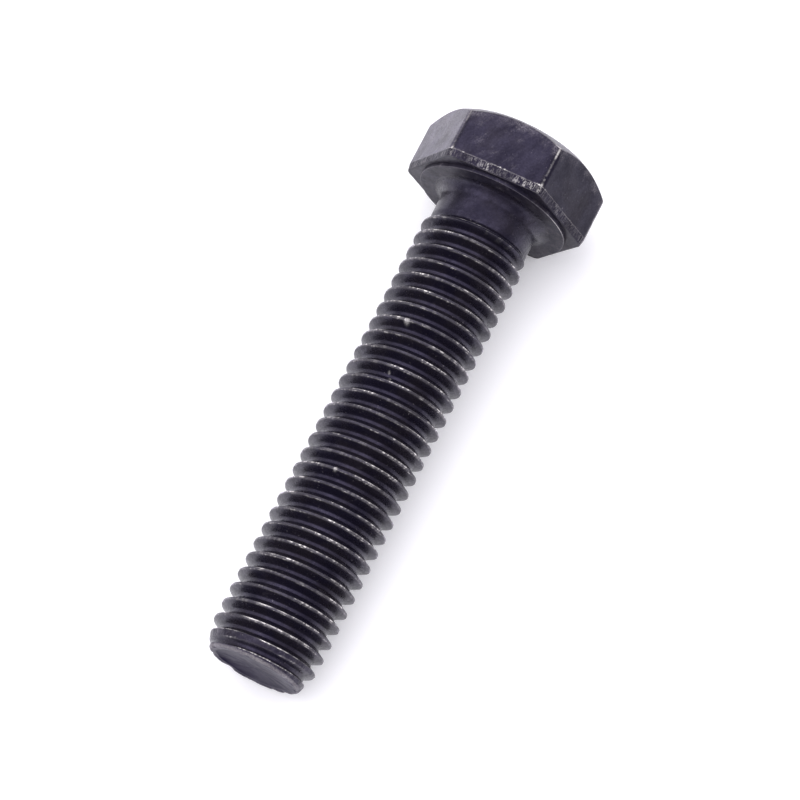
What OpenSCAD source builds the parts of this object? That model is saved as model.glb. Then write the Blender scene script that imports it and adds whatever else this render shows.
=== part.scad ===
// Hex head bolt, coarse metric thread run up close to the head, cold forged in one piece.
// The bolt lies along X with its head at +X and its point at -X. The origin is the centre of
// the bearing face, on the axis, and two flats of the hexagon face up and down along Z.

/* [Thread] */
// Major diameter, over the crests
thread_d = 11.8; // [11.5:0.05:12]
// Axial distance from one turn to the next
pitch = 1.75; // [1.5:0.25:2.25]
// Radial height from root to crest
thread_depth = 1; // [0.8:0.05:1.1]
// Turn of the helix about the axis
thread_phase = 190; // [0:5:355]
// Length over which the thread fades into the neck
runout_l = 1.6; // [1:0.1:2.5]

/* [Shank] */
// Nominal length, from the bearing face to the end
bolt_l = 55; // [30:5:70]
// Diameter of the plain neck
neck_d = 10.85; // [10.5:0.05:11.2]
// Length from the bearing face to the start of the thread
neck_l = 3.2; // [2.5:0.1:6]
// Radius of the fillet under the head
fillet_r = 1.2; // [0.6:0.1:1.4]

/* [Point] */
// Diameter of the end face
end_d = 9.95; // [9.2:0.05:10.4]
// Length of the cone that cuts the last turns down
point_cone_l = 2.6; // [1.5:0.1:4]
// Height of the unthreaded disc at the end
point_l = 0.5; // [0.5:0.1:1]
// Diameter of the shallow dish in the end face
dish_d = 8.4; // [5:0.1:9]
// Depth of that dish
dish_depth = 0.4; // [0.05:0.05:0.45]

/* [Head] */
// Width across the flats
across_flats = 17.8; // [17.4:0.05:18]
// Diameter over the rounded corners
across_corners = 20.2; // [19.6:0.05:20.4]
// Height from the bearing face to the top
head_h = 7.2; // [6:0.1:8]
// Diameter of the flat top inside the chamfer
top_d = 16.7; // [15:0.1:17]
// Fall of the domed chamfer, from the flat top to a corner
chamfer_drop = 1.25; // [0.6:0.05:1.6]
// Height of the trimmed band along the lower edge of each flat
trim_h = 0.9; // [0.4:0.1:1.4]
// Slope of that band toward the axis
trim_angle = 10; // [4:1:15]

/* [Washer face] */
// Diameter of the raised bearing face
washer_d = 16.7; // [15.5:0.1:17]
// How far it stands proud of the hexagon
washer_h = 0.4; // [0.2:0.05:0.6]

/* [Hidden] */

steel = "#2f2d37";
worn_steel = "#45424c";
round_fn = 96;

// Thread profile: the crest is an eighth of the pitch wide, and the flanks are at 30 degrees.
flank_angle = 30;
crest_half = 1 / 16;
root_half = crest_half + thread_depth * tan(flank_angle) / pitch;
crest_r = thread_d / 2;
root_r = crest_r - thread_depth;
neck_r = neck_d / 2;

// The thread's skin is a grid of columns around the axis and rows along the helix.
columns = 32;
row_steps = [-root_half, -crest_half, crest_half, root_half];
rows_per_turn = len(row_steps);
thread_lo = point_l - bolt_l;
thread_hi = -neck_l;
// The grid runs this many turns longer than the thread, to reach past both ends at any phase.
spare_turns = 5;
turns = ceil((thread_hi - thread_lo) / pitch) + spare_turns;
last_row = rows_per_turn * turns - 1;
row_gap = 0.02;

end_r = end_d / 2;
cone_slope = (crest_r - end_r) / point_cone_l;
bore_r = neck_r + fillet_r;
hexagon_r = across_flats / 2 / cos(30);
hexagon_h = head_h - washer_h;
top_r = top_d / 2;
// The chamfer is part of a sphere through the rim of the flat top and through the corners.
dome_depth = (pow(across_corners / 2, 2) - pow(top_r, 2) + pow(chamfer_drop, 2)) / (2 * chamfer_drop);
dome_r = sqrt(pow(top_r, 2) + pow(dome_depth, 2));
dish_steps = 6;

// Radius of the full profile, u turns from the middle of a crest
function profile_r(u) =
    abs(u) < crest_half ? crest_r :
    abs(u) > root_half ? root_r :
    crest_r - thread_depth * (abs(u) - crest_half) / (root_half - crest_half);

// Radius of the cone that cuts the last turns down
function cone_r(z) = end_r + cone_slope * (z + bolt_l);

// Share of the full thread height at z, from 0 at the neck to 1 past the run-out
function runout(z) =
    let (t = min(1, (thread_hi - z) / runout_l))
    t * t * (3 - 2 * t);

// Turns from the middle of the nearest crest, at height z and angle a
function crest_offset(z, a) =
    let (u = (z + bolt_l) / pitch - (a - thread_phase) / 360)
    u - round(u);

function thread_r(z, a) =
    min(cone_r(z), neck_r + (profile_r(crest_offset(z, a)) - neck_r) * runout(z));

// Height of a row of the grid, before it is cut by the ends
function row_z(column, row) =
    pitch * (floor(row / rows_per_turn) - 2 + row_steps[row % rows_per_turn]
        + (column / columns * 360 - thread_phase) / 360) - bolt_l;

// Rows past an end collapse to one point on it, so that both ends are flat.
function cut_row(column, row, step, limit) =
    step * (limit - row_z(column, row)) > row_gap ? row : cut_row(column, row - step, step, limit);
function first_row(column) = cut_row(column, last_row, 1, thread_lo);
function final_row(column) = cut_row(column, 0, -1, thread_hi);

module thread_skin() {
    first = [for (c = [0:columns - 1]) first_row(c)];
    final = [for (c = [0:columns - 1]) final_row(c)];
    rows = last_row + 1;
    points = [for (c = [0:columns - 1]) for (r = [0:last_row])
        let (
            a = c / columns * 360,
            z = r <= first[c] ? thread_lo : r >= final[c] ? thread_hi : row_z(c, r),
            d = thread_r(z, a)
        )
        [d * cos(a), d * sin(a), z]];
    // After a whole turn, a row has climbed by one pitch and meets a later row.
    function id(c, r) =
        let (
            col = c % columns,
            row = c < columns ? r : r + rows_per_turn
        )
        col * rows + max(first[col], min(final[col], row));
    triangles = [for (c = [0:columns - 1]) for (r = [-rows_per_turn:last_row])
        let (
            low = id(c, r),
            low_next = id(c + 1, r),
            high = id(c, r + 1),
            high_next = id(c + 1, r + 1)
        )
        for (face = [[low, high_next, low_next], [low, high, high_next]])
            if (face[0] != face[1] && face[1] != face[2] && face[2] != face[0]) face];
    bottom = [for (c = [0:columns - 1]) id(c, 0)];
    top = [for (c = [columns - 1:-1:0]) id(c, last_row)];
    polyhedron(points, concat(triangles, [bottom, top]), convexity = 10);
}

// Turns a shape made along Z, head up, to lie along X
module along_x() {
    rotate([0, 90, 0]) children();
}

module hex_head() {
    color(steel) along_x() difference() {
        intersection() {
            translate([0, 0, washer_h])
                rotate(30) cylinder(h = hexagon_h, r = hexagon_r, $fn = 6);
            translate([0, 0, washer_h])
                cylinder(h = hexagon_h, d = across_corners, $fn = round_fn);
            translate([0, 0, head_h - dome_depth]) sphere(r = dome_r, $fn = round_fn);
        }
        for (i = [0:5])
            rotate(60 * i) translate([across_flats / 2, 0, washer_h + trim_h])
                rotate([0, trim_angle, 0]) translate([0, -across_flats / 2, -2 * trim_h])
                    cube([trim_h, across_flats, 2 * trim_h]);
    }
}

module washer_face() {
    color(worn_steel) along_x() difference() {
        cylinder(h = washer_h, d = washer_d, $fn = round_fn);
        translate([0, 0, -washer_h])
            cylinder(h = 3 * washer_h, r = bore_r, $fn = round_fn);
    }
}

// The neck carries the fillet, and fills the inside of the washer face.
module neck() {
    color(steel) along_x() union() {
        translate([0, 0, -neck_l]) cylinder(h = neck_l, r = neck_r, $fn = round_fn);
        difference() {
            translate([0, 0, -fillet_r])
                cylinder(h = fillet_r + washer_h, r = bore_r, $fn = round_fn);
            translate([0, 0, -fillet_r]) rotate_extrude($fn = round_fn)
                translate([bore_r, 0]) circle(r = fillet_r, $fn = round_fn);
        }
    }
}

module thread() {
    color(steel) along_x() thread_skin();
}

// Height of the dish's surface at radius r
function dish_z(r) = dish_depth * (1 - pow(2 * r / dish_d, 2));

module point() {
    dish = [for (i = [0:dish_steps])
        let (r = dish_d / 2 * i / dish_steps)
        [r, dish_z(r)]];
    color(worn_steel) along_x() translate([0, 0, -bolt_l]) rotate_extrude($fn = round_fn)
        polygon(concat(dish, [
            [end_r, 0],
            [end_r + cone_slope * point_l, point_l],
            [0, point_l]
        ]));
}

hex_head();
washer_face();
neck();
thread();
point();
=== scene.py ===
"""A black-oxide hex head bolt lying on a white table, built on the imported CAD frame."""
import math

import bpy
import numpy as np
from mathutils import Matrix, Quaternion, Vector


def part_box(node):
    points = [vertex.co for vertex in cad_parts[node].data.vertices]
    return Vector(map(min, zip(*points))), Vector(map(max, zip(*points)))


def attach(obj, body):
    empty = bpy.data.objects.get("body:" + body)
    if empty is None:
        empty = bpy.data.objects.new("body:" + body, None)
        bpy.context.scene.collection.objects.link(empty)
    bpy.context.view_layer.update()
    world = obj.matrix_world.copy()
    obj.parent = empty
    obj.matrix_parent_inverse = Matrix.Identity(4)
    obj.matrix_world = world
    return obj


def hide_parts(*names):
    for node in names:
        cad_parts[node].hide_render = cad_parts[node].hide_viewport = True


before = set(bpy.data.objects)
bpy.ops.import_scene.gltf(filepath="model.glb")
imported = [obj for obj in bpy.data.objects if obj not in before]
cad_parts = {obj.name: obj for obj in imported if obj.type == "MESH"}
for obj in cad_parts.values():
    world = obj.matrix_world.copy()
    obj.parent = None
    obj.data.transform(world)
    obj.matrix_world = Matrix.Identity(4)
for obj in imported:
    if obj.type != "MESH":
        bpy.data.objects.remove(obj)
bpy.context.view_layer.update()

MM = 0.001
TURN = 2 * math.pi
QUARTER = math.pi / 2

# Sizes along the bolt's axis X and across it, read from the frame
HEAD_LO, HEAD_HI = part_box("hex_head")
FACE_LO, FACE_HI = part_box("washer_face")
NECK_LO, NECK_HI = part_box("neck")
THREAD_LO, THREAD_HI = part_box("thread")
POINT_LO, POINT_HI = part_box("point")
END_X = POINT_LO[0]
POINT_X = POINT_HI[0]
NECK_X = NECK_LO[0]
BEARING_X = FACE_LO[0]
HEXAGON_X = HEAD_LO[0]
TOP_X = HEAD_HI[0]
FLAT_R = HEAD_HI[2]
CORNER_R = HEAD_HI[1]
FACE_R = FACE_HI[2]
BORE_R = NECK_HI[2]

# The thread, with the same pitch, turn and profile as the CAD
PITCH = 1.75 * MM
PHASE = math.radians(100)
CREST_R = 5.9 * MM
ROOT_R = 4.93 * MM
NECK_R = 5.425 * MM
END_R = 4.975 * MM
RUNOUT = 1.6 * MM
CONE_L = 2.6 * MM
CONE_SLOPE = (CREST_R - END_R) / CONE_L
CREST_HALF = 0.10 * MM
FLANK_SLOPE = 1 / math.tan(math.radians(30))
# How wide the bends are rounded at the crest's edges, in the root and along the cone's edges
CREST_ROUND = 0.028 * MM
ROOT_ROUND = 0.22 * MM
CONE_ROUND = 0.06 * MM
# The seam that rolling leaves along the middle of the crest
SEAM_DEPTH = 0.03 * MM
# The crest lies this far below its nominal radius, and is uneven by this much, slowly and quickly.
CREST_DIP = 0.02 * MM
CREST_SWELL = 0.012 * MM
CREST_GRAIN = 0.006 * MM
CONE_GRAIN = 0.028 * MM
# Near the end the groove is only half formed: it starts here and is whole this much further on.
GROOVE_START = -0.3 * MM
GROOVE_GROWTH = 1.3 * MM

# The end: its rolled lip, and the dish inside it
LIP_BEND = 0.38 * MM
LIP_NICK = 0.13 * MM
LIP_WIDTH = 0.42 * MM
LIP_SPREAD = 0.14 * MM
LIP_FALL = 0.10 * MM
DISH_DEPTH = 0.4 * MM
DISH_BUMP = 0.015 * MM

# The head
TOP_R = 8.35 * MM
CHAMFER_DROP = 1.25 * MM
DOME_DEPTH = (CORNER_R ** 2 - TOP_R ** 2 + CHAMFER_DROP ** 2) / (2 * CHAMFER_DROP)
DOME_R = math.hypot(TOP_R, DOME_DEPTH)
TRIM_H = 0.9 * MM
TRIM_SLOPE = math.tan(math.radians(10))
FILLET_R = 1.2 * MM
# How wide the hexagon's corners, its lower edge and the washer face's edge are rounded
CORNER_ROUND = 0.1 * MM
TRIM_BEND = 0.06 * MM
FACE_BEND = 0.10 * MM
# How deep the skin is marked: the trimmed band's strokes and ragged border, chips along the corners,
# the hollow top, the fillet's waves, and how far the washer face is out of round
STROKE_DEPTH = 0.012 * MM
RAGGED_DEPTH = 0.015 * MM
CHIP_DEPTH = 0.09 * MM
TOP_HOLLOW = 0.012 * MM
FILLET_WAVE = 0.02 * MM
FACE_WAVE = 0.025 * MM
# Pieces that meet reach this far into each other.
OVERLAP = 0.04 * MM

COLUMNS = 320
AROUND = np.arange(COLUMNS) / COLUMNS * TURN
TRIM_ROWS = 16


# ---------------------------------------------------------------- smooth steps and seeded noise

# The first argument of wander, lumps and specks is a seed.

def soft_min(a, b, k):
    """The smaller of a and b, rounded over where they are within k of each other."""
    return np.minimum(a, b) - np.maximum(k - np.abs(a - b), 0) ** 2 / (4 * k)


def soft_max(a, b, k):
    """The larger of a and b, rounded over in the same way."""
    return -soft_min(-a, -b, k)


def smooth(t):
    """A step from 0 to 1 as t runs from 0 to 1, level at both ends."""
    t = np.clip(t, 0, 1)
    return t * t * (3 - 2 * t)


def wander(seed, value, wavelength, octaves=3):
    """Smooth noise of about -1 to 1 along a line, from a few sines with seeded phases."""
    rng = np.random.default_rng(seed)
    total = np.zeros_like(value)
    for octave in range(octaves):
        for _ in range(3):
            wave = wavelength / 2 ** octave * rng.uniform(0.7, 1.4)
            total = total + np.sin(value / wave * TURN + rng.uniform(0, TURN)) / 2 ** octave
    return total / 3


def lumps(seed, x, angle, size, octaves=3):
    """Smooth noise of about -1 to 1 over the bolt's skin, seamless round the axis."""
    rng = np.random.default_rng(seed)
    y, z = np.cos(angle) * CREST_R, np.sin(angle) * CREST_R
    total = np.zeros_like(x + angle)
    for octave in range(octaves):
        for _ in range(4):
            direction = rng.normal(size=3)
            direction /= np.linalg.norm(direction)
            wave = size / 2 ** octave * rng.uniform(0.7, 1.4)
            along = (x * direction[0] + y * direction[1] + z * direction[2]) / wave
            total = total + np.sin(along * TURN + rng.uniform(0, TURN)) / 2 ** octave
    return total / 4


# ---------------------------------------------------------------- the shank's skin, r(x, angle)

def helix_turns(x, angle):
    """Turns of the thread from the end of the bolt, a whole number in the middle of each crest."""
    return (x - END_X) / PITCH - (angle - PHASE) / TURN


def crest_offset(x, angle):
    """Axial distance from the middle of the nearest crest."""
    turns = helix_turns(x, angle)
    return (turns - np.round(turns)) * PITCH


def helix_length(x, angle):
    """Distance run along the helix, from the end of the bolt."""
    return (np.round(helix_turns(x, angle)) * TURN + angle) * CREST_R


# Nicks that handling left: place on the axis, angle about it, radius and depth
DEEP_NICKS = [
    (-16.7 * MM, math.radians(75), 0.20 * MM, 0.10 * MM),
    (-22.4 * MM, math.radians(82), 0.09 * MM, 0.05 * MM),
    (-23.0 * MM, math.radians(86), 0.08 * MM, 0.05 * MM),
    (-34.1 * MM, math.radians(81), 0.15 * MM, 0.06 * MM),
    (-43.1 * MM, math.radians(215), 0.30 * MM, 0.14 * MM),
    (-11.2 * MM, math.radians(330), 0.28 * MM, 0.12 * MM),
]
SMALL_NICKS = 90


def scattered_nicks():
    """The small nicks, all over the shank."""
    rng = np.random.default_rng(12)
    return [(
        rng.uniform(END_X, NECK_X),
        rng.uniform(0, TURN),
        rng.uniform(0.12, 0.3) * MM,
        rng.uniform(0.02, 0.08) * MM,
    ) for _ in range(SMALL_NICKS)]


NICKS = DEEP_NICKS + scattered_nicks()

# Crests rubbed bright near the end: place on the axis in mm, angle and spread in degrees, and strength
RUBS = [(-51.5, 77, 7, 1.0), (-51.4, 100, 8, 0.45), (-49.8, 82, 6, 0.6), (-49.7, 101, 5, 0.4)]
RUB_HALF = 0.7 * MM


def nicked(x, angle, nicks):
    """Depth of the nicks at a point of the shank's skin."""
    x, angle = np.broadcast_arrays(x, angle)
    total = np.zeros(x.shape)
    for nick_x, nick_angle, size, depth in nicks:
        near = np.abs(x - nick_x) < 3 * size
        turn = (angle[near] - nick_angle + math.pi) % TURN - math.pi
        distance = ((x[near] - nick_x) ** 2 + (turn * CREST_R) ** 2) / size ** 2
        total[near] += depth * np.exp(-distance)
    return total


def specks(seed, distance, size):
    """Specks of 0 to 1 in loose clusters along an edge."""
    cluster = smooth(0.2 + 1.8 * wander(seed, distance, 16 * size))
    grain = wander(seed + 1, distance, 2.2 * size, 4) + 0.6 * wander(seed + 2, distance, 0.7 * size, 2)
    return cluster * (0.12 + 0.88 * smooth((grain - 0.1) / 0.5))


def cone_r(x, angle):
    """Radius of the cone that cuts the last turns down. Its skin is rough."""
    rough = lumps(5, x, angle, 3 * MM) + 0.8 * lumps(6, 0.4 * x, angle, 0.8 * MM)
    return END_R + (x - END_X) * CONE_SLOPE + CONE_GRAIN * rough * smooth((x - END_X) / (0.6 * MM))


def shank_r(x, angle):
    """Radius of the threaded shank's skin."""
    offset = np.abs(crest_offset(x, angle))
    run = helix_length(x, angle)
    seam = SEAM_DEPTH * (0.6 + 0.4 * wander(2, run, 14 * MM, 1))
    seam = seam * np.maximum(1 - (offset / CREST_HALF) ** 2, 0)
    uneven = CREST_SWELL * wander(3, run, 9 * MM) + CREST_GRAIN * wander(4, run, 0.8 * MM, 2)
    crest = CREST_R - CREST_DIP + uneven - seam - nicked(x, angle, NICKS)
    flank = CREST_R - (offset - CREST_HALF) * FLANK_SLOPE
    radius = soft_max(soft_min(flank, crest, CREST_ROUND), ROOT_R, ROOT_ROUND)
    cone = cone_r(x, angle)
    formed = smooth((x - END_X - GROOVE_START) / GROOVE_GROWTH)
    radius = cone + (radius - cone) * np.where(radius < cone, formed, 1)
    radius = soft_min(radius, cone, CONE_ROUND)
    radius = radius - 0.4 * nicked(x, angle, DEEP_NICKS)
    return NECK_R + (radius - NECK_R) * smooth((NECK_X - x) / RUNOUT)


# ---------------------------------------------------------------- meshes

def point_on(x, radius, angle):
    """Points at x along the axis, at a radius and an angle about it."""
    return np.stack([x + 0 * radius, radius * np.cos(angle), radius * np.sin(angle)], -1)


def make_piece(name, points, faces, normals=None, attributes=None, first_look=None):
    """A mesh object from an array of points and a list of arrays of faces.

    Faces after the first_look first ones get the piece's second material.
    """
    flat = np.concatenate([f.reshape(-1) for f in faces])
    counts = np.concatenate([np.full(len(f), f.shape[1]) for f in faces])
    used, flat = np.unique(flat, return_inverse=True)
    flat = flat.reshape(-1)
    points = points[used]
    mesh = bpy.data.meshes.new(name)
    mesh.vertices.add(len(points))
    mesh.vertices.foreach_set("co", points.astype(np.float32).ravel())
    mesh.loops.add(len(flat))
    mesh.loops.foreach_set("vertex_index", flat.astype(np.int32))
    mesh.polygons.add(len(counts))
    mesh.polygons.foreach_set("loop_start", np.concatenate([[0], np.cumsum(counts)[:-1]]).astype(np.int32))
    mesh.polygons.foreach_set("use_smooth", np.ones(len(counts), dtype=bool))
    if first_look is not None:
        mesh.polygons.foreach_set("material_index", (np.arange(len(counts)) >= first_look).astype(np.int32))
    mesh.update(calc_edges=True)
    mesh.validate()
    for key, values in (attributes or {}).items():
        layer = mesh.attributes.new(key, "FLOAT", "POINT")
        layer.data.foreach_set("value", values[used].astype(np.float32))
    if normals is not None:
        mesh.normals_split_custom_set_from_vertices(normals[used])
    piece = bpy.data.objects.new(name, mesh)
    bpy.context.scene.collection.objects.link(piece)
    return piece


def grid_index(rows, columns):
    """Vertex numbers of a tube's rows and columns."""
    return np.arange(rows * columns).reshape(rows, columns)


def grid_faces(index):
    """Faces between the rows of a closed tube of vertex numbers [row, column]."""
    beside = np.roll(index, -1, axis=1)
    return split_quads(np.stack([index[:-1], beside[:-1], beside[1:], index[1:]], -1).reshape(-1, 4))


def split_quads(quads):
    """Whole quads, and triangles from the quads that lost one corner."""
    same = np.stack([quads[:, k] == quads[:, (k + 1) % 4] for k in range(4)], 1)
    lost = same.sum(1)
    faces = [quads[lost == 0]]
    for k in range(4):
        three = quads[(lost == 1) & same[:, k]]
        if len(three):
            faces.append(np.delete(three, (k + 1) % 4, axis=1))
    return [f for f in faces if len(f)]


def skin_normals(radius_of, x, angle):
    """Normals of the surface r(x, angle), from its slopes."""
    step = 0.004 * MM
    turn = step / CREST_R
    radius = radius_of(x, angle)
    by_x = (radius_of(x + step, angle) - radius_of(x - step, angle)) / (2 * step)
    by_turn = (radius_of(x, angle + turn) - radius_of(x, angle - turn)) / (2 * turn)
    side = -by_turn / radius
    normal = np.stack([
        -by_x,
        np.cos(angle) - side * np.sin(angle),
        np.sin(angle) + side * np.cos(angle),
    ], -1)
    return normal / np.linalg.norm(normal, axis=-1, keepdims=True)


def grid_normals(points):
    """Normals of a closed tube of points [row, column], from its neighbours."""
    along = np.gradient(points, axis=0)
    around = np.roll(points, -1, axis=1) - np.roll(points, 1, axis=1)
    normal = np.cross(around, along)
    return normal / np.maximum(np.linalg.norm(normal, axis=-1, keepdims=True), 1e-12)


def shank_wear(x, angle):
    """How exposed the shank's skin is: 1 along sharp edges, a little on the crest's land, 0 in the root."""
    step = 0.02 * MM
    bend = 2 * shank_r(x, angle) - shank_r(x + step, angle) - shank_r(x - step, angle)
    edge = np.clip(bend / step ** 2 * 0.04 * MM, 0, 1)
    run = helix_length(x, angle)
    streaks = specks(41, run, 0.6 * MM)
    offset = crest_offset(x, angle)
    toward_end = 0.05 + 0.6 * specks(44, run, 0.6 * MM)
    for rub_mm, facing, spread, strength in RUBS:
        along = (x - rub_mm * MM) / RUB_HALF
        aside = (np.degrees(angle) % 360 - facing) / spread
        streaks = np.maximum(streaks, strength * np.exp(-along ** 2 - aside ** 2))
    toward_head = 0.07 + 3.2 * streaks
    toward_head = toward_head + 1.6 * specks(47, run, 0.6 * MM) * smooth((END_X + CONE_L - x) / MM)
    edge = edge * np.where(offset < 0, toward_end, toward_head)
    land = 0.04 + 0.12 * specks(50, run, 0.8 * MM) + streaks * smooth(0.3 + offset / CREST_HALF)
    land = land * smooth((shank_r(x, angle) - (CREST_R - 0.1 * MM)) / (0.05 * MM))
    worn = np.maximum(edge, land) * smooth((NECK_X - x) / RUNOUT) ** 2
    rim = nicked(x, angle, DEEP_NICKS) / (0.12 * MM)
    return np.maximum(worn, np.clip(4 * rim * (1 - rim), 0, 1) * 0.8)


def shank_scuff(x, angle):
    """How scuffed the shank's skin is: the cone at the end, and the neck a little."""
    cut = smooth(1 - (cone_r(x, angle) - shank_r(x, angle)) / (0.12 * MM))
    cut = cut * smooth((END_X + CONE_L - x) / (0.4 * MM))
    return np.maximum(0.3 * cut, 0.04 * smooth(1 - (NECK_X - x) / RUNOUT))


def build_thread():
    """The thread's skin: rows follow the helix and lie closest at the crest's edges."""
    # The rows of one turn, in turns from the middle of the crest
    half = CREST_HALF / PITCH
    edge = np.array([-0.035, -0.015, 0, 0.015, 0.035]) * MM / PITCH
    flank = np.linspace(half + edge[-1], 0.40, 9)[1:]
    root = np.array([0.433, 0.466])
    upper = np.concatenate([[0.025], half + edge, flank, root])
    steps = np.concatenate([[-0.5], -upper[::-1], upper])
    per_turn = len(steps)
    # The grid starts and ends past the thread, and its rows past an end are drawn together on it.
    turns = int((NECK_X - POINT_X) / PITCH) + 4
    rows = np.arange(per_turn * turns)
    along = np.floor(rows / per_turn) - 2 + steps[rows % per_turn]
    x = (along[:, None] + (AROUND[None] - PHASE) / TURN) * PITCH + END_X
    gap = 0.01 * MM
    first = (x <= POINT_X + gap).sum(0) - 1
    last = (x < NECK_X - gap).sum(0)
    x = np.clip(x, POINT_X + gap, NECK_X - gap)
    row = np.clip(rows[:, None], first[None], last[None])
    x = np.take_along_axis(x, row, 0)
    x[row == first[None]] = POINT_X
    x[row == last[None]] = NECK_X
    index = row * COLUMNS + np.arange(COLUMNS)[None]
    # After a whole turn a row has climbed by one pitch, so it meets the row a turn later.
    late = np.clip(rows + per_turn, first[0], last[0]) * COLUMNS
    nxt = np.concatenate([index[:, 1:], late[:, None]], 1)
    quads = np.stack([index[:-1], nxt[:-1], nxt[1:], index[1:]], -1).reshape(-1, 4)
    # The first column's rows of the first turn meet the last column below its own first row.
    before = np.arange(-per_turn, 0)
    first_column = np.clip(before + per_turn, first[0], last[0]) * COLUMNS
    last_column = np.clip(before, first[-1], last[-1]) * COLUMNS + COLUMNS - 1
    low_quads = np.stack([
        last_column,
        first_column,
        np.append(first_column[1:], late[0]),
        np.append(last_column[1:], index[0, -1]),
    ], -1)
    quads = np.concatenate([quads, low_quads])
    angles = np.broadcast_to(AROUND[None], x.shape)
    radius = shank_r(x, angles)
    points = point_on(x, radius, angles).reshape(-1, 3)
    normals = skin_normals(shank_r, x, angles).reshape(-1, 3)
    wear = shank_wear(x, angles).reshape(-1)
    scuff_and_painted_light = shank_scuff(x, angles).reshape(-1)
    return make_piece("rolled_thread", points, split_quads(quads), normals, {"wear": wear, "scuff_and_painted_light": scuff_and_painted_light})


def build_point():
    """The last of the cone, the rolled-over lip and the dished end face."""
    angle = AROUND
    side_x = np.linspace(POINT_X, END_X + LIP_BEND, 9)
    side_angle = np.broadcast_to(angle, (len(side_x), COLUMNS))
    side = np.broadcast_to(side_x[:, None], side_angle.shape)
    rows = list(point_on(side, shank_r(side, side_angle), side_angle))
    wear = list(shank_wear(side, side_angle) * 0.6)
    scuff_and_painted_light = list(shank_scuff(side, side_angle))
    rim = shank_r(side[-1], angle)
    # The lip is a smooth rolled rim, a little uneven and nicked.
    nick = LIP_NICK * smooth(0.25 + 0.9 * lumps(7, 0 * angle, angle, 2.2 * MM))
    lip_w = LIP_WIDTH + LIP_SPREAD * lumps(8, 0 * angle, angle, 9 * MM)
    for turn in np.linspace(0, QUARTER, 7)[1:]:
        x = END_X + LIP_BEND * (1 - math.sin(turn)) + nick * math.sin(turn)
        rows.append(point_on(x, rim - LIP_BEND * (1 - math.cos(turn)) - nick, angle))
        wear.append(np.full(COLUMNS, 0.17 * math.sin(2 * turn)))
        scuff_and_painted_light.append(np.full(COLUMNS, 0.75))
    edge = rim - LIP_BEND - nick
    for share in np.linspace(0, 1, 7)[1:]:
        x = END_X + nick * (1 - share) + LIP_FALL * smooth(share)
        rows.append(point_on(x, edge - lip_w * share, angle))
        wear.append(np.zeros(COLUMNS))
        scuff_and_painted_light.append(np.full(COLUMNS, 0.75 - 0.6 * share))
    inner = edge - lip_w
    gloss = []
    for share in np.linspace(1, 0, 26)[1:-1]:
        dish = LIP_FALL + (DISH_DEPTH - LIP_FALL) * (1 - share ** 2)
        bump = DISH_BUMP * lumps(9, 0 * angle + share * 4 * MM, angle, 2.5 * MM) * (1 - share) * share * 4
        rows.append(point_on(END_X + dish + bump, inner * share, angle))
        wear.append(np.zeros(COLUMNS))
        # Painted light: the dish gets more dust and gloss toward +Z and -Y and less toward -Z and +Y, so it
        # reads lit on one side and shaded on the other.
        painted_light = share * (0.6 * np.sin(angle) - 0.8 * np.cos(angle))
        scuff_and_painted_light.append(0.03 + 0.4 * painted_light)
        gloss.append(0.11 + 0.12 * painted_light)
    gloss = [np.full(COLUMNS, 0.25)] * (len(rows) - len(gloss)) + gloss
    points = np.stack(rows)
    normals = -grid_normals(points)
    normals[:len(side_x)] = skin_normals(shank_r, side, side_angle)
    index = grid_index(len(rows), COLUMNS)
    faces = [f[:, ::-1] for f in grid_faces(index)]
    centre = points[-1].mean(0)
    flat = np.concatenate([points.reshape(-1, 3), centre[None]])
    normals = np.concatenate([normals.reshape(-1, 3), [[-1, 0, 0]]])
    ring = index[-1]
    faces.append(np.stack([np.roll(ring, -1), ring, np.full(COLUMNS, len(flat) - 1)], -1))
    attributes = {
        "wear": np.append(np.concatenate(wear), 0),
        "scuff_and_painted_light": np.append(np.concatenate(scuff_and_painted_light), 0.15),
        "gloss": np.append(np.concatenate(gloss), 0.2),
    }
    return make_piece("dished_end", flat, faces, normals, attributes, (len(side_x) - 1) * COLUMNS)


def build_neck():
    """The plain neck and the fillet."""
    fillet_x = BEARING_X - FILLET_R
    outline = [(x, NECK_R) for x in np.linspace(NECK_X, fillet_x, 12)[:-1]]
    for turn in np.linspace(0, QUARTER, 22):
        outline.append((fillet_x + FILLET_R * math.sin(turn), NECK_R + FILLET_R * (1 - math.cos(turn))))
    rows = []
    for x, radius in outline:
        uneven = smooth((x - NECK_X) / (0.5 * MM)) * smooth((BEARING_X - x) / (0.4 * MM))
        uneven = uneven * FILLET_WAVE * lumps(15, x + 0 * AROUND, AROUND, 3.5 * MM)
        rows.append(point_on(np.full(COLUMNS, x), radius + uneven, AROUND))
    rows.append(point_on(np.full(COLUMNS, BEARING_X), np.full(COLUMNS, BORE_R + OVERLAP), AROUND))
    count = len(rows) * COLUMNS
    return make_piece("neck_and_fillet", np.concatenate(rows), grid_faces(grid_index(len(rows), COLUMNS)),
                      attributes={"wear": np.zeros(count), "scuff_and_painted_light": np.full(count, 0.02)})


# Where the head's lower edge and the washer face's edge are rubbed down most: angle about the axis,
# spread and strength
WORN_PLACES = [
    (61, 2.5, 1.0), (70, 6, 0.3), (88, 8, 1.0), (110, 7, 1.0), (119, 4, 1.0),
    (205, 14, 0.8), (262, 9, 0.6), (331, 16, 0.8),
]
FACE_WORN_PLACES = [(156, 16, 0.6), (280, 30, 0.5)]
# How scuffed each flat of the hexagon is, by its angle. This is partly real dust and partly painted light:
# the flat at 30°, facing the lit floor at +Y, gets the most dust so it reads lighter, and the flat at 150°,
# on the shaded -Y side, gets none.
FLAT_DUST_AND_PAINTED_LIGHT = {30: 0.7, 90: 0.16, 150: 0.0, 210: 0.3, 270: 0.1, 330: 0.2}
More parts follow.
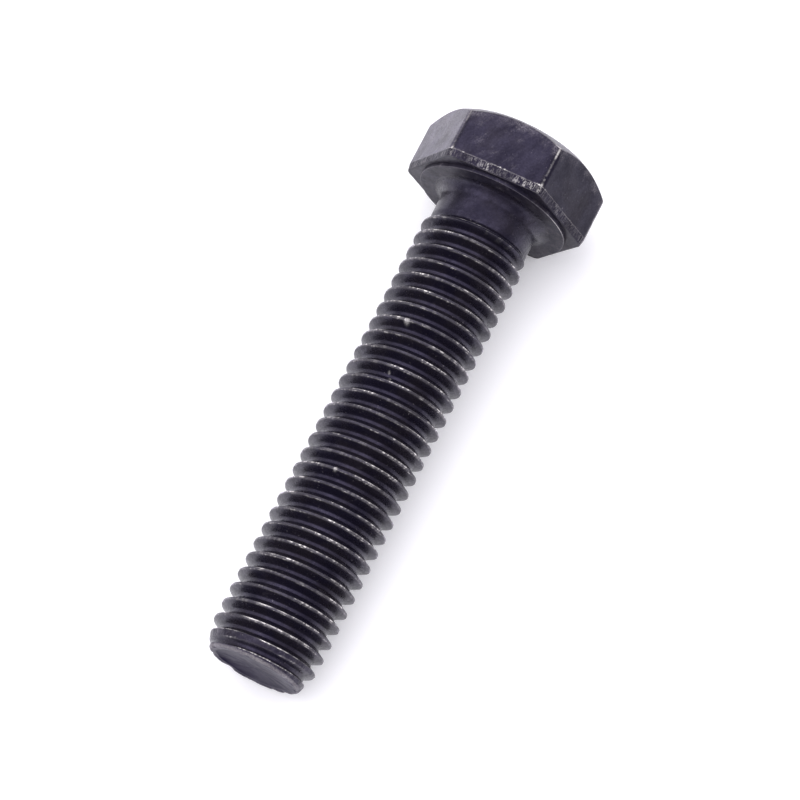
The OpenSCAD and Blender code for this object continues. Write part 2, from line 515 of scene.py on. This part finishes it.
# How glossy each flat is, by its angle. This is painted light: the flat at 30°, facing the lit floor at +Y,
# reflects most, and the flat at 150°, facing the shaded floor at -Y, reflects least.
FLAT_GLOSS_AND_PAINTED_SHEEN = {30: 1.08, 90: 0.42, 150: 0.29, 210: 0.48, 270: 0.42, 330: 0.5}
# How much each corner of the hexagon is rubbed down, by its angle
CORNER_WEAR = {0: 0.5, 60: 0.2, 120: 0.8, 180: 0.5, 240: 0.7, 300: 0.35}


def worn_share(angle):
    """How far the head's lower edge is rubbed down at an angle."""
    total = np.full_like(angle, 0.14)
    for degrees, spread, strength in WORN_PLACES:
        turn = (np.degrees(angle) - degrees + 180) % 360 - 180
        total = total + strength * np.exp(-(turn / spread) ** 2)
    return total


def build_washer_face():
    """The raised bearing face, with its outer edge rounded over."""
    worn_edge = 0.09
    for degrees, spread, strength in FACE_WORN_PLACES:
        worn_edge = worn_edge + strength * np.exp(-((np.degrees(AROUND) - degrees) / spread) ** 2)
    rows = [(BEARING_X, BORE_R + OVERLAP, 0)]
    for radius in np.linspace(BORE_R + 0.2 * MM, FACE_R - FACE_BEND - 0.1 * MM, 8):
        rows.append((BEARING_X, radius, 0))
    for turn in np.linspace(0, QUARTER, 9):
        rows.append((
            BEARING_X + FACE_BEND * (1 - math.cos(turn)),
            FACE_R - FACE_BEND + FACE_BEND * math.sin(turn),
            math.sin(2 * turn) ** 4,
        ))
    rows.append((HEXAGON_X + OVERLAP / 2, FACE_R, 0))
    points, wear = [], []
    for x, radius, worn in rows:
        edge = FACE_WAVE * (lumps(21, 0 * AROUND, AROUND, 6 * MM) - 1) * (radius / FACE_R) ** 8
        points.append(point_on(np.full(COLUMNS, x), radius + edge, AROUND))
        wear.append(worn * worn_edge)
    scuff_and_painted_light = np.full(len(rows) * COLUMNS, 0.25)
    return make_piece("bearing_ring", np.concatenate(points), grid_faces(grid_index(len(rows), COLUMNS)),
                      attributes={"wear": np.concatenate(wear), "scuff_and_painted_light": scuff_and_painted_light})


def dome_x(radius):
    """Height of the domed chamfer at a radius."""
    return TOP_X - DOME_DEPTH + np.sqrt(DOME_R ** 2 - radius ** 2)


def build_head():
    """The hexagon: trimmed band, flats, domed chamfer and top."""
    # Columns lie closest at the corners of the hexagon.
    sector = np.concatenate([
        np.linspace(-30, -25, 18)[:-1],
        np.linspace(-25, 25, 90)[:-1],
        np.linspace(25, 30, 18)[:-1],
    ])
    degrees = np.concatenate([sector + 60 * k + 30 for k in range(6)])
    angle = np.radians(degrees)
    n = len(angle)
    around = angle * FLAT_R
    # Degrees from the middle of the flat, and degrees from the corner
    within = (degrees % 60) - 30
    from_corner = 30 - np.abs(within)
    side = soft_min(FLAT_R / np.cos(np.radians(within)), np.full(n, CORNER_R), CORNER_ROUND)
    near = np.round(degrees / 60).astype(int) % 6 * 60
    near_wear = np.array([CORNER_WEAR[d] for d in near])
    corner_wear = smooth(1 - from_corner / 0.9) * near_wear
    chipped = smooth(1 - from_corner / 2.4) * CHIP_DEPTH * np.minimum(near_wear * 1.4, 1)
    foot = np.exp(-(from_corner / 0.7) ** 2)
    facing = np.floor(degrees / 60).astype(int) % 6 * 60 + 30
    # Painted light: each flat's dust and gloss make the flats toward +Y lighter and the flats toward -Y
    # darker.
    flat_dust_and_painted_light = np.array([FLAT_DUST_AND_PAINTED_LIGHT[d] for d in facing])
    flat_gloss_and_painted_sheen = np.array([FLAT_GLOSS_AND_PAINTED_SHEEN[d] for d in facing])
    worn = worn_share(angle)

    # The shear that trimmed the lower edge left short upright strokes, and a ragged upper border.
    rng = np.random.default_rng(32)
    strokes = rng.normal(size=(TRIM_ROWS + 8, n))
    strokes = sum(strokes[k:k + TRIM_ROWS] for k in range(9)) / 3
    dense = 0.3 + 0.7 * smooth(0.5 + 0.9 * wander(38, around, 4 * MM))
    ragged = rng.normal(size=n)
    ragged = (ragged + np.roll(ragged, 1) + np.roll(ragged, 2)) / 3
    trim_top = HEXAGON_X + TRIM_H * (0.95 + 0.07 * lumps(31, 0 * angle, angle, 9 * MM))
    trim_top = trim_top + RAGGED_DEPTH * ragged
    rows, wear, scuff_and_painted_light, gloss = [], [], [], []

    def add(x, radius, exposed, scuffed_and_painted_light, shine=0.45):
        """One row of the head's skin, with its wear, scuff and gloss."""
        rows.append(point_on(x + 0 * angle, radius, angle))
        wear.append(exposed + np.zeros(n))
        scuff_and_painted_light.append(scuffed_and_painted_light + np.zeros(n))
        gloss.append(shine + np.zeros(n))

    inner = np.full(n, FACE_R - 0.3 * MM)
    low_side = side - TRIM_H * TRIM_SLOPE
    for share in np.linspace(0, 1, 7)[:-1]:
        add(HEXAGON_X, inner + (low_side - TRIM_BEND - inner) * share, 0, 0.0, 0.4)
    for turn in np.linspace(0, QUARTER, 5):
        add(HEXAGON_X + TRIM_BEND * (1 - math.cos(turn)), low_side - TRIM_BEND * (1 - math.sin(turn)),
            (0.02 + 0.1 * worn) * math.sin(2 * turn), 0.1, 0.3)
    for share, stroke in zip(np.linspace(0.08, 0.94, TRIM_ROWS), strokes):
        x = HEXAGON_X + TRIM_BEND + (trim_top - HEXAGON_X - TRIM_BEND) * share
        radius = low_side + (side - low_side) * share
        radius = radius + STROKE_DEPTH * (stroke * (1 - share ** 6) + lumps(33, x, angle, 0.8 * MM))
        marks = np.clip(1.2 * stroke - 0.1, 0, 1) * dense
        heel = foot * near_wear * np.clip(1.2 * stroke + 0.4, 0, 1)
        add(x, radius, (0.06 + 0.3 * worn) * marks + 0.9 * heel, 0.1 + 0.55 * marks, 0.32)

    # The border above the band is broken into bright specks.
    bright = worn * (0.15 + 1.4 * specks(53, around, 0.3 * MM)) * np.clip(0.8 + 0.9 * ragged, 0, 1.3) + foot
    add(trim_top - 0.03 * MM, side - 0.02 * MM, 0.5 * bright, 0.3, 0.35)
    add(trim_top + 0.01 * MM, side - 0.008 * MM, 0.13 + bright, 0.3, flat_gloss_and_painted_sheen)
    add(trim_top + 0.06 * MM, side, 0.5 * bright, flat_dust_and_painted_light, flat_gloss_and_painted_sheen)

    # The flats, up to the arc where the chamfer cuts them. The corners' worn lines are solid near the
    # arc, and broken below it.
    arc_x = dome_x(side)
    low, high = trim_top + 0.14 * MM, arc_x - 0.1 * MM
    for share in np.linspace(0, 1, 44):
        x = low + (high - low) * share
        solid = smooth((share - 0.68) / 0.12)
        rough_foot = smooth((0.3 - share) / 0.1)
        spot = x + 0.3 * near * MM
        noise = wander(35, spot, 1.3 * MM, 4) + 0.5 * wander(36, spot, 0.4 * MM, 2)
        broken = np.clip(np.maximum(solid, 0.2 + noise * (0.08 + 0.9 * rough_foot)), 0, 1)
        exposed = np.maximum(corner_wear * broken, foot * math.exp(-share / 0.03))
        chip = chipped * np.clip(0.2 - noise, 0, 1) * (1 - solid)
        mottle = flat_dust_and_painted_light * lumps(37, x, angle, 2.6 * MM, 4)
        near_arc = np.exp(-((arc_x - x) / (0.9 * MM)) ** 2)
        add(x, side - chip, exposed, flat_dust_and_painted_light + 0.4 * mottle + 0.6 * near_arc,
            flat_gloss_and_painted_sheen * (1 + 0.3 * mottle))

    # The arc's own edge is worn beside the corners, further before each one than after it.
    arc_wear = near_wear * smooth(1 - from_corner / np.where(within > 0, 7, 1.5))
    add(arc_x - 0.03 * MM, side - 0.004 * MM, np.maximum(arc_wear, 0.08), 0.6)
    add(arc_x + 0.01 * MM, side - 0.03 * MM, np.maximum(arc_wear, 0.14), 0.6)
    for share in np.linspace(0.08, 0.97, 9):
        radius = side + (TOP_R - side) * share
        add(dome_x(radius), radius, 0.08, 0.6)
    add(TOP_X - 0.01 * MM, np.full(n, TOP_R - 0.03 * MM), 0.15, 0.5)
    for radius in np.linspace(TOP_R - 0.15 * MM, 0.6 * MM, 26):
        uneven = 1 + lumps(37, radius + 0 * angle, angle, 4 * MM)
        add(TOP_X - TOP_HOLLOW * uneven * smooth((TOP_R - radius) / MM), np.full(n, radius), 0, 0.3)
    index = grid_index(len(rows), n)
    faces = grid_faces(index)
    centre = rows[-1].mean(0)
    ring = index[-1]
    faces.append(np.stack([ring, np.roll(ring, -1), np.full(n, index.size)], -1))
    attributes = {
        "wear": np.append(np.concatenate(wear), 0),
        "scuff_and_painted_light": np.append(np.concatenate(scuff_and_painted_light), 0.3),
        "gloss": np.append(np.concatenate(gloss), 0.45),
    }
    return make_piece("forged_hexagon", np.concatenate(rows + [centre[None]]), faces, attributes=attributes)


# ---------------------------------------------------------------- materials

RAMP_SOCKETS = ("From Min", "From Max", "To Min", "To Max")


class Nodes:
    """Short names for building a material's node tree."""

    def __init__(self, name):
        self.material = bpy.data.materials.new(name)
        self.material.use_nodes = True
        self.tree = self.material.node_tree
        self.tree.nodes.clear()
        self.output = self.add("ShaderNodeOutputMaterial")
        self.shader = self.add("ShaderNodeBsdfPrincipled")
        self.link(self.shader.outputs[0], self.output.inputs["Surface"])
        self.place = self.add("ShaderNodeTexCoord").outputs["Object"]

    def add(self, kind, **settings):
        """A new node with these settings."""
        node = self.tree.nodes.new(kind)
        for key, value in settings.items():
            setattr(node, key, value)
        return node

    def link(self, source, target):
        self.tree.links.new(source, target)

    def put(self, socket, value):
        """Links a socket, or sets it to a constant."""
        if isinstance(value, bpy.types.NodeSocket):
            self.link(value, socket)
        else:
            socket.default_value = value

    def scaled(self, factors, tilt=0.0):
        """The place on the piece, turned by tilt degrees about Z and scaled along each axis."""
        turned = self.add("ShaderNodeVectorRotate", rotation_type="Z_AXIS")
        self.link(self.place, turned.inputs["Vector"])
        turned.inputs["Angle"].default_value = math.radians(tilt)
        node = self.add("ShaderNodeVectorMath", operation="MULTIPLY")
        self.link(turned.outputs[0], node.inputs[0])
        node.inputs[1].default_value = factors
        return node.outputs[0]

    def noise(self, size_mm, detail=4, rough=0.55, stretch=(1, 1, 1), shift=0.0, tilt=0.0):
        """Noise of 0 to 1 with features of a size, which may be stretched and tilted."""
        node = self.add("ShaderNodeTexNoise", noise_dimensions="4D")
        factor = 1 / (size_mm * MM)
        self.link(self.scaled(tuple(factor / s for s in stretch), tilt), node.inputs["Vector"])
        node.inputs["W"].default_value = shift
        node.inputs["Scale"].default_value = 1
        node.inputs["Detail"].default_value = detail
        node.inputs["Roughness"].default_value = rough
        return node.outputs["Fac"]

    def ramp(self, value, low, high, to_low=0.0, to_high=1.0):
        """A smooth step from to_low to to_high as the value runs from low to high."""
        node = self.add("ShaderNodeMapRange", interpolation_type="SMOOTHSTEP")
        self.link(value, node.inputs["Value"])
        for key, number in zip(RAMP_SOCKETS, (low, high, to_low, to_high)):
            node.inputs[key].default_value = number
        return node.outputs[0]

    def math(self, operation, a, b=0.0, clamp=False):
        """A sum, difference, product or other result of a and b."""
        node = self.add("ShaderNodeMath", operation=operation, use_clamp=clamp)
        self.put(node.inputs[0], a)
        self.put(node.inputs[1], b)
        return node.outputs[0]

    def product(self, *values):
        """All the values multiplied together."""
        total = values[0]
        for value in values[1:]:
            total = self.math("MULTIPLY", total, value)
        return total

    def mix_colour(self, share, a, b):
        """Colour a, with a share of colour b."""
        node = self.add("ShaderNodeMix", data_type="RGBA")
        self.put(node.inputs[0], share)
        self.put(node.inputs[6], a)
        self.put(node.inputs[7], b)
        return node.outputs[2]

    def mix_value(self, share, a, b):
        """Value a, with a share of value b."""
        node = self.add("ShaderNodeMix", data_type="FLOAT")
        self.put(node.inputs[0], share)
        self.put(node.inputs[2], a)
        self.put(node.inputs[3], b)
        return node.outputs[0]

    def attribute(self, name):
        """A value that the piece's mesh carries at each vertex."""
        return self.add("ShaderNodeAttribute", attribute_name=name).outputs["Fac"]

    def bump(self, height, distance_mm, normal=None):
        """A normal tilted by a height map, on top of another normal."""
        node = self.add("ShaderNodeBump")
        node.inputs["Strength"].default_value = 1
        node.inputs["Distance"].default_value = distance_mm * MM
        self.link(height, node.inputs["Height"])
        if normal is not None:
            self.link(normal, node.inputs["Normal"])
        return node.outputs[0]


BLUE_BLACK = (0.0068, 0.0058, 0.0120, 1)
BROWN_BLACK = (0.0105, 0.0088, 0.0125, 1)
VIOLET_BLACK = (0.012, 0.009, 0.024, 1)
VIOLET_GREY = (0.022, 0.018, 0.036, 1)
DUST = (0.12, 0.11, 0.12, 1)
BARE_STEEL = (0.70, 0.67, 0.64, 1)
OXIDE_TINT = (0.72, 0.65, 1.0, 1)
OXIDE_IOR = 1.41
BARE_METALLIC = 0.9
BARE_ROUGHNESS = 0.33
# Scuffs and smears run aslant, at this many degrees about Z.
SCUFF_TILT = 30
# How far the surface is raised, in mm: fine grain, lumps and pits
GRAIN_MM = 0.003
LUMP_MM = 0.008
PIT_MM = 0.03


def black_oxide(name, roughness, seed, level=None, grain_share=1.0, dark=BLUE_BLACK, light=BROWN_BLACK,
                coarse=1):
    """Satin black oxide: mottled and finely grained, dusty where scuffed, bright steel where worn through.

    Its gloss is a constant level, or the mesh's own gloss where no level is given. coarse makes its
    grain larger.
    """
    n = Nodes(name)
    wear, scuff_and_painted_light = n.attribute("wear"), n.attribute("scuff_and_painted_light")
    if level is None:
        level = n.attribute("gloss")
    colour = n.mix_colour(n.ramp(n.noise(3.4, shift=seed), 0.4, 0.62), dark, light)

    # Dust and scuffs lie in loose patches, most where the piece is scuffed.
    patch_size = 0.9 * coarse ** 0.5
    patch = n.noise(patch_size, 6, 0.7, stretch=(2.2, 1, 1), shift=seed + 1, tilt=SCUFF_TILT)
    patch = n.math("ADD", scuff_and_painted_light, n.math("MULTIPLY", n.math("SUBTRACT", patch, 0.5), 2.4))
    grit = n.ramp(n.noise(0.15, 4, 0.7, shift=seed + 2), 0.38, 0.66, 0.1, 1.0)
    cloud = n.noise(1.5, 5, 0.6, stretch=(3, 1, 1), shift=seed + 11, tilt=SCUFF_TILT)
    cloud = n.ramp(cloud, 0.36, 0.64, 0.35, 1.25)
    fleck = n.ramp(n.noise(0.22, 2, 0.6, shift=seed + 9), 0.64, 0.72, 0.0, 0.8)
    fleck = n.product(fleck, n.ramp(n.noise(2.2, 2, shift=seed + 12), 0.45, 0.6))
    # The dust share from the mesh also carries painted light: on the hexagon's flats and in the end's dish,
    # more dust stands in for light.
    dust = n.product(n.ramp(patch, 0.15, 0.85), grit, cloud)
    dust = n.math("MAXIMUM", dust, fleck, clamp=True)
    colour = n.mix_colour(dust, colour, DUST)

    # Bright steel shows where the oxide has been rubbed off, broken into specks.
    speck = n.ramp(n.noise(0.16, 3, 0.6, shift=seed + 3), 0.36, 0.6, 0.5, 1.2)
    spark = n.product(n.ramp(n.noise(0.22, 3, 0.65, shift=seed + 4), 0.64, 0.74), dust, 0.7)
    bare = n.math("ADD", n.product(wear, speck), spark, clamp=True)
    n.link(n.mix_colour(bare, colour, BARE_STEEL), n.shader.inputs["Base Color"])
    n.link(n.product(bare, BARE_METALLIC), n.shader.inputs["Metallic"])

    grain = n.noise(0.35 * coarse, 5, 0.65, shift=seed + 5)
    rough = n.ramp(grain, 0.3, 0.7, roughness - 0.05, roughness + 0.07)
    rough = n.mix_value(dust, rough, roughness + 0.04)
    n.link(n.mix_value(bare, rough, BARE_ROUGHNESS), n.shader.inputs["Roughness"])

    shine = n.ramp(n.noise(0.24 * coarse, 4, 0.7, shift=seed + 10), 0.3, 0.7, 0.75, 1.25)
    smear = n.noise(1.6 * coarse ** 0.5, 5, 0.6, stretch=(2.5, 1, 1), shift=seed + 13, tilt=SCUFF_TILT)
    smear = n.ramp(smear, 0.32, 0.68, 0.65, 1.35)
    # The mesh's gloss carries painted light on the hexagon's flats and the end's dish: a stronger
    # reflection on the lit side and a weaker one on the shaded side.
    n.link(n.product(shine, smear, level), n.shader.inputs["Specular IOR Level"])
    n.shader.inputs["Specular Tint"].default_value = OXIDE_TINT
    n.shader.inputs["IOR"].default_value = OXIDE_IOR

    fine = n.bump(n.noise(0.09, 3, 0.6, shift=seed + 6), GRAIN_MM * grain_share)
    lumpy = n.bump(n.noise(1.1, shift=seed + 7), LUMP_MM * grain_share, fine)
    pits = n.product(scuff_and_painted_light, n.noise(0.22, 4, 0.7, shift=seed + 8))
    n.link(n.bump(pits, PIT_MM * grain_share, lumpy), n.shader.inputs["Normal"])
    return n.material


shank_look = black_oxide("black_oxide_shank", 0.29, 10, level=0.46)
end_look = black_oxide("black_oxide_end", 0.42, 20, grain_share=0.1, dark=VIOLET_BLACK, light=VIOLET_GREY,
                       coarse=4)
face_look = black_oxide("black_oxide_face", 0.42, 30, level=0.48, grain_share=0.6)
head_look = black_oxide("black_oxide_head", 0.34, 40)


# ---------------------------------------------------------------- the pieces, on the frame

def place(piece, node, slot, *looks):
    """Puts a piece's materials on it and sets it on the frame in place of its CAD node."""
    for look in looks:
        piece.data.materials.append(look)
    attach(piece, "root")
    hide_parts(node)


place(build_head(), "hex_head", "black_oxide_head", head_look)
place(build_washer_face(), "washer_face", "black_oxide_face", face_look)
place(build_neck(), "neck", "black_oxide_shank", shank_look)
place(build_thread(), "thread", "black_oxide_shank", shank_look)
place(build_point(), "point", "black_oxide_face", shank_look, end_look)


# ---------------------------------------------------------------- table, light and camera

# The bolt rests on the lower edge of its head and on a crest near its end, so the table slopes under it.
REST_HEAD_X = HEXAGON_X + TRIM_H
REST_END_X = END_X + CONE_L
TABLE_SLOPE = math.atan2(FLAT_R - CREST_R, REST_HEAD_X - REST_END_X)
TABLE_HALF = 6.0
TABLE_WHITE = (0.95, 0.95, 0.95, 1)
# A little light of its own keeps the shadows on the white table pale.
TABLE_GLOW = 0.11


def build_table():
    """A white table, which goes on past the picture on every side."""
    corners = [(TABLE_HALF * u, TABLE_HALF * v, 0) for u, v in ((-1, -1), (1, -1), (1, 1), (-1, 1))]
    mesh = bpy.data.meshes.new("table")
    mesh.from_pydata(corners, [], [(0, 1, 2, 3)])
    table = bpy.data.objects.new("table", mesh)
    bpy.context.scene.collection.objects.link(table)
    table.rotation_euler = (0, TABLE_SLOPE, 0)
    table.location = (REST_HEAD_X, 0, -FLAT_R)
    n = Nodes("white_table")
    n.shader.inputs["Base Color"].default_value = TABLE_WHITE
    n.shader.inputs["Emission Color"].default_value = (1, 1, 1, 1)
    n.shader.inputs["Emission Strength"].default_value = TABLE_GLOW
    n.shader.inputs["Roughness"].default_value = 0.8
    n.shader.inputs["IOR"].default_value = 1.2
    mesh.materials.append(n.material)


LIGHT_AIM = Vector((-25, 0, 0)) * MM


def area_light(name, place_mm, size_mm, power):
    """A soft light at a place, turned to the middle of the bolt."""
    data = bpy.data.lights.new(name, "AREA")
    data.shape = "RECTANGLE"
    data.size, data.size_y = size_mm[0] * MM, size_mm[1] * MM
    data.energy = power
    light = bpy.data.objects.new(name, data)
    light.location = Vector(place_mm) * MM
    light.rotation_mode = "QUATERNION"
    light.rotation_quaternion = (LIGHT_AIM - light.location).to_track_quat("-Z", "Y")
    bpy.context.scene.collection.objects.link(light)


build_table()
area_light("overhead", (150, 110, 560), (320, 320), 0.21)
area_light("window", (-60, 420, 330), (520, 420), 0.5)

# Brightness of the room by a direction's Z and Y: from, to, brightness there
SKY_BY_HEIGHT = (0.4, 1.0, 0.8, 2.3)
SKY_BY_SIDE = (-1.0, 0.4, 0.85, 1.0)
SKY_COLOUR = (0.95, 0.935, 1, 1)


def build_world():
    """A white room, brightest overhead and a little darker toward -Y."""
    world = bpy.data.worlds.new("studio")
    world.use_nodes = True
    tree = world.node_tree
    background = tree.nodes["Background"]
    direction = tree.nodes.new("ShaderNodeTexCoord").outputs["Generated"]
    split = tree.nodes.new("ShaderNodeSeparateXYZ")
    tree.links.new(direction, split.inputs[0])
    strength = tree.nodes.new("ShaderNodeMath")
    strength.operation = "MULTIPLY"
    for axis, socket, reach in (("Z", 0, SKY_BY_HEIGHT), ("Y", 1, SKY_BY_SIDE)):
        ramp = tree.nodes.new("ShaderNodeMapRange")
        ramp.interpolation_type = "SMOOTHSTEP"
        for key, number in zip(RAMP_SOCKETS, reach):
            ramp.inputs[key].default_value = number
        tree.links.new(split.outputs[axis], ramp.inputs["Value"])
        tree.links.new(ramp.outputs[0], strength.inputs[socket])
    tree.links.new(strength.outputs[0], background.inputs["Strength"])
    background.inputs["Color"].default_value = SKY_COLOUR
    bpy.context.scene.world = world


build_world()

CAMERA_AIM = Vector((-22.13, -0.08, -2.71)) * MM
CAMERA_AZIMUTH = math.radians(-58.6)
CAMERA_ELEVATION = math.radians(69.87)
CAMERA_ROLL = math.radians(-5.6)
CAMERA_DISTANCE = 330 * MM
CAMERA_LENS = 143.7
CAMERA_SENSOR = 36

camera_data = bpy.data.cameras.new("camera")
camera_data.lens = CAMERA_LENS
camera_data.sensor_width = CAMERA_SENSOR
camera = bpy.data.objects.new("camera", camera_data)
bpy.context.scene.collection.objects.link(camera)
back = Vector((
    math.sin(CAMERA_AZIMUTH) * math.cos(CAMERA_ELEVATION),
    -math.cos(CAMERA_AZIMUTH) * math.cos(CAMERA_ELEVATION),
    math.sin(CAMERA_ELEVATION),
))
camera.location = CAMERA_AIM + back * CAMERA_DISTANCE
camera.rotation_mode = "QUATERNION"
camera.rotation_quaternion = (-back).to_track_quat("-Z", "Y") @ Quaternion((0, 0, 1), CAMERA_ROLL)
camera_data.clip_start = 0.01
camera_data.clip_end = 50
bpy.context.scene.camera = camera
bpy.context.scene.view_settings.view_transform = "Standard"
